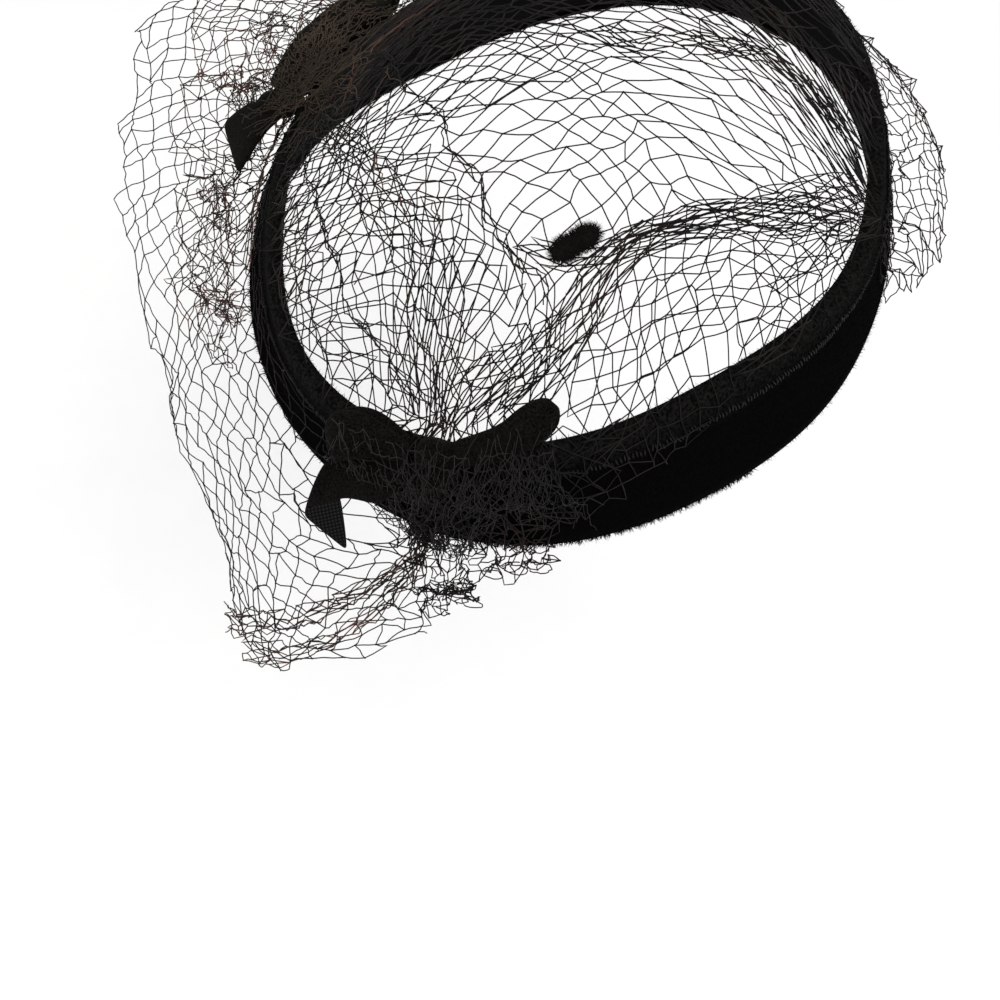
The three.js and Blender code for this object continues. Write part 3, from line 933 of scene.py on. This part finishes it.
def crown_layer(turn, shift, seed, keep, middle, squeeze, gap=0.4):
    """A layer over the crown; more net than the rim is long is squeezed in round the direction middle."""
    rng = np.random.default_rng(seed)
    count = int(CROWN_SPAN / CROWN_CELL)
    bm = lattice(count, count, CROWN_CELL)
    flat = drawn_out(turned(bm, turn, shift))
    flat = flat + ripples(flat, rng, 4.0) + rng.normal(0, 0.18 * CROWN_CELL, flat.shape)
    reach = np.hypot(flat[:, 0], flat[:, 1])
    beside = (np.degrees(np.arctan2(flat[:, 1], flat[:, 0])) - middle + 180) % 360 - 180
    base = middle + beside * (1 + (squeeze - 1) * np.clip(reach / 60 - 0.2, 0, 1))
    toward_third = np.exp(-(((base - 192 + 180) % 360 - 180) / 28) ** 2)
    length = reach / (CROWN_FULLNESS - 0.4 * toward_third)
    share = length / FORM_LENGTH[section_of(np.radians(base)), CROWN_STEPS - 1]
    draw = np.clip((share - 0.3) / 0.7, 0, 1) ** 1.4
    ring = base + (gathered(base, CROWN_GATHERS) - base) * draw
    spots = on_form(np.radians(ring), length)
    plan = bunched(spots[:, :2], CROWN_BUNCHES)
    ring = (ring + 180) % 360 - 180
    mess = 0.3 * CROWN_CELL * np.clip((135 - ring) / 25, 0.1, 1)
    loose = spots + mess[:, None] * rng.standard_normal(spots.shape)
    spots = np.where((share < 1)[:, None], np.column_stack([plan, crown_height(plan)]), loose)
    row = section_of(np.radians(ring))
    below_edge = np.interp(ring, BACK_FACE, BACK_FACE_REACH)
    foot = np.minimum(FORM_LENGTH[row, -1] + 1.5, FORM_LENGTH[row, CROWN_STEPS] + below_edge)
    on_face = (ring > BACK_FACE[0]) & (length < foot)
    covers = ((share < 1.02) | on_face) & keep(spots + rng.normal(0, 1.5, spots.shape), ring, share)
    return laid_net(bm, spots, covers, 0 * share, CROWN_CELL, gap, rng, CROWN_ROUNDS)


def inside(plan, corners):
    """Which places lie inside a closed outline, seen in plan."""
    result = np.zeros(len(plan), bool)
    corners = np.array(corners, float)
    for (x0, y0), (x1, y1) in zip(corners, np.roll(corners, -1, axis=0)):
        crossing = (y0 > plan[:, 1]) != (y1 > plan[:, 1])
        x = x0 + (x1 - x0) * (plan[:, 1] - y0) / (y1 - y0 if y1 != y0 else 1e-9)
        result ^= crossing & (plan[:, 0] < x)
    return result


print("crown net", CROWN_FULLNESS, "times as full as the rim is wide")

# %% Four layers over the crown
# The selvedges of the upper layers, seen in plan on the crown, and corners that close each outline.
FRONT_EDGE = (
    (66, 10), (40, 24), (20, 33), (5, 34), (-6, 24), (-9, 12), (-15, 2), (-24, -10), (-34, -22), (-43, -36),
)
FRONT_CORNERS = ((-52, -60), (-60, -130), (130, -130))
SECOND_EDGE = ((52.4, 14.9), (46.1, 14.9), (38.8, 17.6), (26.6, 27.5), (13.2, 32.7), (8.5, 39.4), (-1, 41.2),
               (-4, 44.7), (-6.8, 47.9), (-13.4, 49.4), (-16.1, 52), (-23, 51.4), (-27, 56.6), (-30.4, 62.8),
               (-27.8, 69.3), (-24.7, 75.6))
THIRD_EDGE = ((54.4, 34.9), (44.7, 45.5), (35, 53), (26, 61.4), (19.8, 65.5), (13.4, 72.5), (4.1, 74.6),
              (-3.8, 78.5), (-10.1, 81.4), (-13, 84.4))
LEFT_CORNERS = ((-20, 130), (130, 130), (130, 10))


def anywhere(spots, ring, share):
    return np.ones(len(spots), bool)


def front_side(spots, ring, share):
    return inside(spots[:, :2], FRONT_EDGE + FRONT_CORNERS)


def left_of(edge, last):
    """A rule that keeps the crown left of an edge, and past the rim the directions up to the last."""
    def keep(spots, ring, share):
        on_crown = inside(spots[:, :2], edge + LEFT_CORNERS)
        return np.where(share < 1, on_crown, (ring > 60) & (ring < last))
    return keep


crown_layers = [
    crown_layer(-12, (0, 0), 2, anywhere, 107, 0.7),
    crown_layer(-4, (2, 1), 3, front_side, 287, 0.92, gap=0.7),
    crown_layer(20, (2, 3), 5, left_of(SECOND_EDGE, 128), 70, 0.8, gap=1.0),
    crown_layer(3, (1, 4), 8, left_of(THIRD_EDGE, 100), 60, 0.8, gap=1.4),
]

# %% [markdown]
# Where the net is pulled hardest it closes up into a rope of long thin diamonds. These ropes are
# strips of the same lattice, drawn out along a line: from the stitch point and from the side bow to
# the back bow, past the dot, down the right of the rim, and along the torn edge and two selvedges.

# %% Drawn strips
def drawn_strip(line, widths, diamond, across, seed, facing=(0, 0, 1), stray=0.2):
    """A strip of net in long diamonds along a line; widths are spread evenly from end to end."""
    rng = np.random.default_rng(seed)
    line = np.array(line, float)
    reach = np.concatenate([[0], np.cumsum(np.linalg.norm(np.diff(line, axis=0), axis=1))])
    count = int(reach[-1] / diamond) + across + 2
    bm = lattice(count, count, math.sqrt(0.5))
    flat = turned(bm, 45, (0, 0))
    flat = flat + rng.normal(0, 0.13, flat.shape)
    along = flat[:, 0] * diamond + reach[-1] / 2
    side = flat[:, 1] / across
    middle, ahead, behind = [
        np.column_stack([np.interp(along + step, reach, column) for column in line.T])
        for step in (0, 6, -6)
    ]
    sideways = np.cross(facing, ahead - behind)
    sideways = sideways / np.maximum(np.linalg.norm(sideways, axis=1), 1e-6)[:, None]
    width = np.interp(along / reach[-1], np.linspace(0, 1, len(widths)), widths)
    spots = middle + sideways * (side * width)[:, None] + rng.normal(0, stray, middle.shape)
    for vertex, spot in zip(bm.verts, spots):
        vertex.co = spot
    trimmed(bm, (along > 0) & (along < reach[-1]) & (np.abs(side) < 0.5))
    torn(bm, 0.03, rng)
    return bm


def crown_strip(plan, widths, diamond, across, seed, lift=0.8):
    """A drawn strip that keeps to the dome of the crown."""
    bm = drawn_strip([(*spot, 0) for spot in plan], widths, diamond, across, seed)
    heights = crown_height(np.array([vertex.co.xy for vertex in bm.verts]))
    for vertex, height in zip(bm.verts, heights):
        vertex.co.z += height + lift
    return bm


FAN = (
    (-67, -17.5), (-65.5, -11.4), (-57, 8.1), (-47.8, 24.7), (-41.9, 37.4), (-39.9, 48.8), (-38.9, 59.7),
    (-36, 69),
)
RIGHT_RIM = ((-57, 40), (-60.5, 33), (-63.5, 18.9), (-64.5, 0.8), (-66, -12.8))
TORN_EDGE = (
    (-4.7, 3), (-14.6, 0.2), (-23.4, -10.3), (-34, -22.9), (-41.4, -25.4), (-49.9, -26.5), (-58.9, -27.9),
)
strips = [
    crown_strip(THIRD_TO_BACK, (15, 13, 10, 7, 6, 7, 10, 14, 18), 9.0, 8, 51),
    crown_strip(BELOW_DOT, (12, 9, 5, 4, 5, 8), 9.0, 4, 52, lift=1.3),
    crown_strip(FAN, (8, 13, 16, 19, 23, 26), 10.0, 6, 58),
    crown_strip(RIGHT_RIM, (10, 11, 9, 7), 11.0, 4, 53),
    crown_strip(TORN_EDGE, (7, 9, 6, 8, 6), 6.0, 5, 54, lift=1.2),
    crown_strip(SIDE_TO_BACK, (5, 7, 11, 15, 19), 8.0, 6, 55, lift=1.2),
    crown_strip(SECOND_EDGE, (1.6, 1.2, 2.2, 1.4), 4.5, 2, 56, lift=1.6),
    crown_strip(THIRD_EDGE, (1.6, 1.2, 2.0), 4.5, 2, 57, lift=1.9),
]
print("drawn strips", len(strips))

# %% [markdown]
# The veil that falls outside the band is a long strip of the same net. Its top is gathered to the
# same points as the crown, so it is laid along the ring and down the form, and here it may hang.

# %% The falling net
FALL_CELL = 4.9
FALL_SPAN = 620
FALL_ROUNDS = 140
# The direction of the strip's middle, and how much of it goes to a radian of the ring.
FALL_MIDDLE = -32
FALL_RADIUS = 112
# Directions, and how far the fall reaches past the hem of the form there.
LONGER_AT = (8, 24, 60, 90, 100)
LONGER_BY = (2, 7, 9, 9, 4)


def fall_layer(turn, seed, keep, gap=0.4):
    rng = np.random.default_rng(seed)
    count = int(FALL_SPAN / FALL_CELL)
    bm = lattice(count, count, FALL_CELL)
    flat = turned(bm, turn, (0, 0))
    flat = flat + ripples(flat, rng, 6.0) + rng.normal(0, 0.26 * FALL_CELL, flat.shape)
    base = FALL_MIDDLE + np.degrees(flat[:, 0] / FALL_RADIUS)
    drop = flat[:, 1] + 10
    hold = 34 * np.exp(-((base - 88) / 16) ** 2)
    ring = base + (gathered(base, FALL_GATHERS) - base) * np.exp(-np.maximum(drop - hold, 0) / 26)
    row = section_of(np.radians(ring))
    rim, hem = FORM_LENGTH[row, CROWN_STEPS], FORM_LENGTH[row, -1]
    extra = np.interp(ring, LONGER_AT, LONGER_BY)
    covers = (drop > 2) & (rim + drop < hem + extra) & (base > -172) & (base < 101) & keep(ring, drop)
    spots = bunched(on_form(np.radians(ring), rim + drop), fall_lines)
    hang = np.clip((drop - 12) / 14, 0, 1)
    return laid_net(bm, spots, covers, hang, FALL_CELL, gap, rng, FALL_ROUNDS, uneven=0.3)


def whole_fall(ring, drop):
    return drop > 0


def left_half(ring, drop):
    return (ring > -30) & (ring < 52) & (drop < 58 - 0.2 * ring)


fall_net = fall_layer(67, 12, whole_fall)
inner_fall = fall_layer(50, 14, left_half, gap=2.5)

# %% [markdown]
# Knots and threads become round by a node tree: each thread turns into a curve, a small ring is
# carried along it, and a bead sits on every knot. Before that each thread is cut and its new points
# are nudged, because a slack thread is never quite straight.

# %% Round threads
BEAD_TO_THREAD = 1.8


def round_threads(name, bm, girth, node, material, cuts=2, nudge=0.16, beads=True):
    """Makes a piece of tubes from the wires of a bmesh; girth is a thread's radius in millimetres."""
    rng = np.random.default_rng(len(bm.verts))
    if cuts:
        bmesh.ops.subdivide_edges(bm, edges=bm.edges, cuts=cuts)
    is_knot = bm.verts.layers.float.new("is_knot")
    for vertex in bm.verts:
        vertex[is_knot] = 1.0 if beads and len(vertex.link_edges) > 2 else 0.0
        vertex.co += Vector(rng.normal(0, nudge, 3))
    bmesh.ops.scale(bm, vec=(MM, MM, MM), verts=bm.verts)
    wires = bpy.data.meshes.new(name + "_wires")
    bm.to_mesh(wires)
    bm.free()
    recipe = Recipe(name)
    start = recipe.node("NodeGroupInput", {}, {})
    curves = recipe.node("GeometryNodeMeshToCurve", {}, {"Mesh": start})
    ring = recipe.node("GeometryNodeCurvePrimitiveCircle", {}, {"Resolution": 3, "Radius": girth * MM})
    carried = {"Curve": curves, "Profile Curve": ring, "Fill Caps": True}
    tubes = recipe.node("GeometryNodeCurveToMesh", {}, carried)
    chosen = recipe.node("GeometryNodeInputNamedAttribute", {"data_type": "FLOAT"}, {"Name": "is_knot"})
    points = recipe.node("GeometryNodeMeshToPoints", {}, {"Mesh": start, "Selection": chosen})
    ball = {"Segments": 4, "Rings": 2, "Radius": BEAD_TO_THREAD * girth * MM}
    bead = recipe.node("GeometryNodeMeshUVSphere", {}, ball)
    planted = recipe.node("GeometryNodeInstanceOnPoints", {}, {"Points": points, "Instance": bead})
    real = recipe.node("GeometryNodeRealizeInstances", {}, {"Geometry": planted})
    whole = recipe.node("GeometryNodeJoinGeometry", {}, {"Geometry": [tubes, real]})
    soft = recipe.node("GeometryNodeSetShadeSmooth", {}, {"Geometry": whole})
    mesh = recipe.grown_from(wires, soft, material)
    return dressed(bpy.data.objects.new(name, mesh), node)


def joined(parts):
    """One bmesh from several."""
    whole = bmesh.new()
    for part in parts:
        carrier = bpy.data.meshes.new("carrier")
        part.to_mesh(carrier)
        part.free()
        whole.from_mesh(carrier)
        bpy.data.meshes.remove(carrier)
    return whole


round_threads("net_crown", joined(crown_layers), 0.17, "veil_crown", net_thread, cuts=1, nudge=0.1)
round_threads("net_drawn_strips", joined(strips), 0.17, None, net_thread, cuts=1, nudge=0.1)
round_threads("net_fall", fall_net, 0.17, "veil_fall", net_thread)
round_threads("net_inner_fall", inner_fall, 0.16, None, faded_thread)

# %% [markdown]
# The raw ends of the net are not trimmed: they hang as a crumpled clump under the back bow, cross
# over both bows, and lie as a faded fold beside the side bow. A crumple is a piece of the same lattice
# pressed into a small place, with ripples in all three directions. Two ropes run on to the hem.

# %% Places for crumpled ends
def crumple(cells_x, cells_y, place, amount, seed, tears=0.1):
    """A piece of net in a small space; place turns shares across and down it into a point."""
    rng = np.random.default_rng(seed)
    bm = lattice(cells_x, cells_y, 1.0)
    flat = np.array([vertex.co.xy for vertex in bm.verts])
    shares = flat / (cells_x, cells_y) + 0.5
    bends = np.stack([ripples(flat * 9, rng, amount)[:, 0] for axis in range(3)], axis=1)
    for vertex, (across, down), bend in zip(bm.verts, shares, bends):
        vertex.co = Vector(place(across, 1 - down)) + Vector(bend) * (1 - 0.65 * down)
        vertex.co += Vector(rng.normal(0, 0.25 * amount, 3))
    torn(bm, tears, rng)
    return bm


def beside_band(degrees, out, z):
    turn = math.radians(degrees)
    radius = float(outer_radius(np.array(turn), min(max(z, 0.0), BAND_HEIGHT))) + out
    return polar(radius, turn, z)


def under_bow(across, down):
    degrees = 98 + 18 * across
    long = 7 + 14 * math.exp(-((degrees - 103.5) / 3.2) ** 2)
    return beside_band(degrees, 1.0 + 6 * down * (1 - across), 4 - long * down)


def tangle(across, down):
    return beside_band(99.5 + 6.5 * across, 4 + 5 * (1 - across), -9 - 10 * down)


# The way the net takes over the side bow, in the seat of the bow.
OVER_LOOP = np.array([(5, 2), (-6, 4), (-16, 6.5), (-25, 11), (-34, 19)], float)


def over_side_bow(across, down):
    stops = np.linspace(0, 1, len(OVER_LOOP))
    x, y = (float(np.interp(across, stops, OVER_LOOP[:, column])) for column in (0, 1))
    half_width = 3 + 8.5 * math.sqrt(across)
    return side_seat @ Vector((x, y + half_width * (2 * down - 1), 8.4 - 2 * down))


def over_bow(across, down):
    spread = 12.5 * (1 - down) + 2
    degrees = 100.5 + 3 * (1 - down) + spread * (across - 0.5) * 2
    arch = math.sin(math.pi * min(1.0, 0.2 + 0.8 * down))
    return beside_band(degrees, 2.0 + 7.0 * arch, 40 - 42 * down)


# Direction, how far the fold stands out from the band, its height.
FADED_FOLD = np.array([
    (-6, 9, 31), (0, 11, 27), (7, 14, 18), (15, 12, 9), (24, 11, 0), (36, 13, -12), (44, 10, -20),
])


def beside_side_bow(across, down):
    degrees = -6 + 50 * across
    out, z = (np.interp(degrees, FADED_FOLD[:, 0], FADED_FOLD[:, column]) for column in (1, 2))
    return beside_band(degrees, out + 6 * (0.5 - down), z + 11 * (0.5 - down))


# Small faded clumps in the left of the fall: direction, how far out, height, size.
FADED_CLUMPS = (
    (-4, 27, 22, 12), (2, 19, 25, 12), (7, 24, 18, 11), (10, 17, 18, 11),
    (22, 15.5, 7, 10), (27, 9, 5, 9), (38, 11, -7, 12), (43, 4, -3, 9),
)


def small_clump(degrees, out, z, size):
    def place(across, down):
        turn = degrees + 0.5 * size * (across - 0.5)
        up = 0.5 * size * (0.5 - down)
        return beside_band(turn, out + up, z + up)
    return place


print("small clumps", len(FADED_CLUMPS))

# %% Crumpled pieces
# Ropes of net from the foot of the back bow to the hem: direction, how far out, height; then widths.
FALL_ROPES = (
    (
        ((99, 2, 6), (97, 5, -6), (92, 14, -16), (85, 25, -28), (78, 34, -38), (73, 36, -46)),
        (3, 4, 5, 6, 9),
    ),
    (
        ((100, 2, 4), (98, 6, -10), (94, 13, -22), (89, 24, -33), (83, 33, -42), (77, 37, -50)),
        (3, 4, 4, 6, 10),
    ),
)


def crumpled_piece(name, bm, girth, material):
    return round_threads(name, bm, girth, None, material, cuts=1, nudge=0.25)


clumps = [crumple(22, 7, under_bow, 2.4, 31), crumple(10, 9, tangle, 2.0, 32)]
crumpled_piece("net_clump", joined(clumps), 0.16, net_thread)
ropes = []
for index, (line, widths) in enumerate(FALL_ROPES):
    spots = [beside_band(*spot) for spot in line]
    ropes.append(drawn_strip(spots, widths, 7.0, 5, 61 + index, facing=(0.0, 0.7, 0.7), stray=0.5))
crumpled_piece("net_fall_ropes", joined(ropes), 0.17, faded_thread)
over_back_bow = crumple(30, 12, over_bow, 1.2, 33, tears=0.2)
crumpled_piece("net_over_back_bow", over_back_bow, 0.11, grey_highlit_thread)
faded = [crumple(34, 6, beside_side_bow, 2.6, 41)]
for index, clump in enumerate(FADED_CLUMPS):
    faded.append(crumple(7, 4, small_clump(*clump), 2.8, 71 + index, tears=0.2))
crumpled_piece("net_faded_fold", joined(faded), 0.14, faded_thread)
matted = crumple(34, 16, over_side_bow, 1.3, 42, tears=0.2)
crumpled_piece("net_over_side_bow", matted, 0.12, dusty_thread)

# %% [markdown]
# Broken threads curl beside the side bow and under the back bow, frayed ones lie round the side bow,
# and loose ones drape over the back bow. Each is a single wire: a line of points that wanders.

# %% Broken threads
def wire(paths):
    """A bmesh of open lines through the given points."""
    bm = bmesh.new()
    for path in paths:
        spots = [bm.verts.new(point) for point in path]
        for first, second in zip(spots, spots[1:]):
            bm.edges.new((first, second))
    return bm


def loose_threads(name, paths, girth, material, nudge=0.05):
    return round_threads(name, wire(paths), girth, None, material, cuts=0, nudge=nudge, beads=False)


def ahead_by(length, heading):
    return length * np.array((math.cos(heading), math.sin(heading)))


# Where the curls start, in plan on the crown.
CURL_STARTS = (
    (47, 15), (37, 24), (37, 33), (40, 41), (30, 36), (21, 42), (12, 47), (6, 50), (52, 20), (46, 34),
)
rng = np.random.default_rng(17)
curls = []
for start in CURL_STARTS:
    heading = rng.uniform(0, math.tau)
    plan = [np.array(start, float) + rng.normal(0, 3, 2)]
    for step in range(16):
        heading += rng.normal(0.12, 0.45)
        plan.append(plan[-1] + ahead_by(1.4, heading))
    plan = np.array(plan)
    lift = 1.2 + np.cumsum(np.abs(rng.normal(0, 0.12, len(plan))))
    curls.append(np.column_stack([plan, crown_height(plan) + lift]))
loose_threads("net_broken_threads", curls, 0.15, faded_thread)

# %% Frayed threads round the side bow
FRAYED_ON_BOW = 150
FRAYED_ON_CROWN = 45
FRAY_HEIGHT = 8.4
frayed = []
for strand in range(FRAYED_ON_BOW):
    heading = rng.uniform(0, math.tau) if strand % 3 == 0 else math.pi + rng.normal(0, 0.8)
    along = 20 * rng.random() ** 2
    spot = np.array((5 - along + rng.normal(0, 3), 7 + rng.normal(0, 3.5)))
    path = []
    for step in range(12):
        heading += rng.normal(-0.03, 0.28)
        spot = spot + ahead_by(rng.uniform(1.1, 1.8), heading)
        path.append(side_seat @ Vector((*spot, FRAY_HEIGHT + rng.normal(0, 0.3))))
    frayed.append(path)
for strand in range(FRAYED_ON_CROWN):
    heading = math.pi + rng.normal(0, 0.6)
    plan = [np.array((61 + rng.normal(0, 2), 22 + rng.normal(0, 3)))]
    for step in range(13):
        heading += rng.normal(0, 0.35)
        plan.append(plan[-1] + ahead_by(rng.uniform(1.2, 2.0), heading))
    plan = np.array(plan)
    frayed.append(np.column_stack([plan, crown_height(plan) + rng.uniform(0.8, 2.5)]))
loose_threads("net_frayed_threads", frayed, 0.11, dusty_thread)

# %% Loose threads over and under the back bow
# Where the threads lie: height, how far out from the band. Then where they start: direction, height.
BOW_DRAPE = np.array([(4, 2), (18, 4.5), (26, 9), (33, 9.5), (40, 6.5), (46, 3.5), (51, -4)])
DRAPE_TOP = np.array([(88, 43), (96, 43), (108, 46), (119, 51)])
DRAPED = 110
drape_rng = np.random.default_rng(19)
draped = []
for strand in range(DRAPED):
    degrees = drape_rng.uniform(88, 118)
    z = drape_rng.uniform(30, np.interp(degrees, DRAPE_TOP[:, 0], DRAPE_TOP[:, 1]))
    drift = drape_rng.normal(0, 0.3)
    path = []
    for step in range(14):
        drift = 0.75 * drift + drape_rng.normal(0, 0.26)
        degrees += drift
        z -= drape_rng.uniform(0.8, 2.4)
        out = np.interp(z, BOW_DRAPE[:, 0], BOW_DRAPE[:, 1]) + drape_rng.normal(0, 0.4)
        path.append(beside_band(degrees, out, z))
    draped.append(path)
loose_threads("net_threads_over_bow", draped, 0.085, grey_highlit_thread)

# Direction, how far out from the band, height, size.
CURLED_ENDS = (
    (104, 7, -13, 3.0), (102, 9, -18, 2.2), (109, 4, -4, 2.4), (112, 3, -3, 2.8), (115, 2, -4, 3.0),
    (106, 6, -17, 2.6),
)
loops = []
for degrees, out, z, size in CURLED_ENDS:
    turns = np.linspace(rng.uniform(0, 3), rng.uniform(7, 10), 18)
    grow = size * np.linspace(0.7, 1.3, len(turns)) + rng.normal(0, 0.15, len(turns))
    ring = [beside_band(degrees + 0.6 * g * math.cos(t), out + 0.1 * k, z + g * math.sin(t))
            for k, (t, g) in enumerate(zip(turns, grow))]
    loops.append(ring)
loose_threads("net_curled_ends", loops, 0.17, net_thread, nudge=0.1)

# %% [markdown]
# Before closing, the script writes the box of the solids beside the box of the dressed hat, so that
# the two can be compared after each render.

# %% Sizes and finish
visual_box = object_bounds()
for title, box in (("cad box", CAD_BOX), ("visual box", visual_box)):
    print(title, [round(b - a, 4) for a, b in zip(*box)])
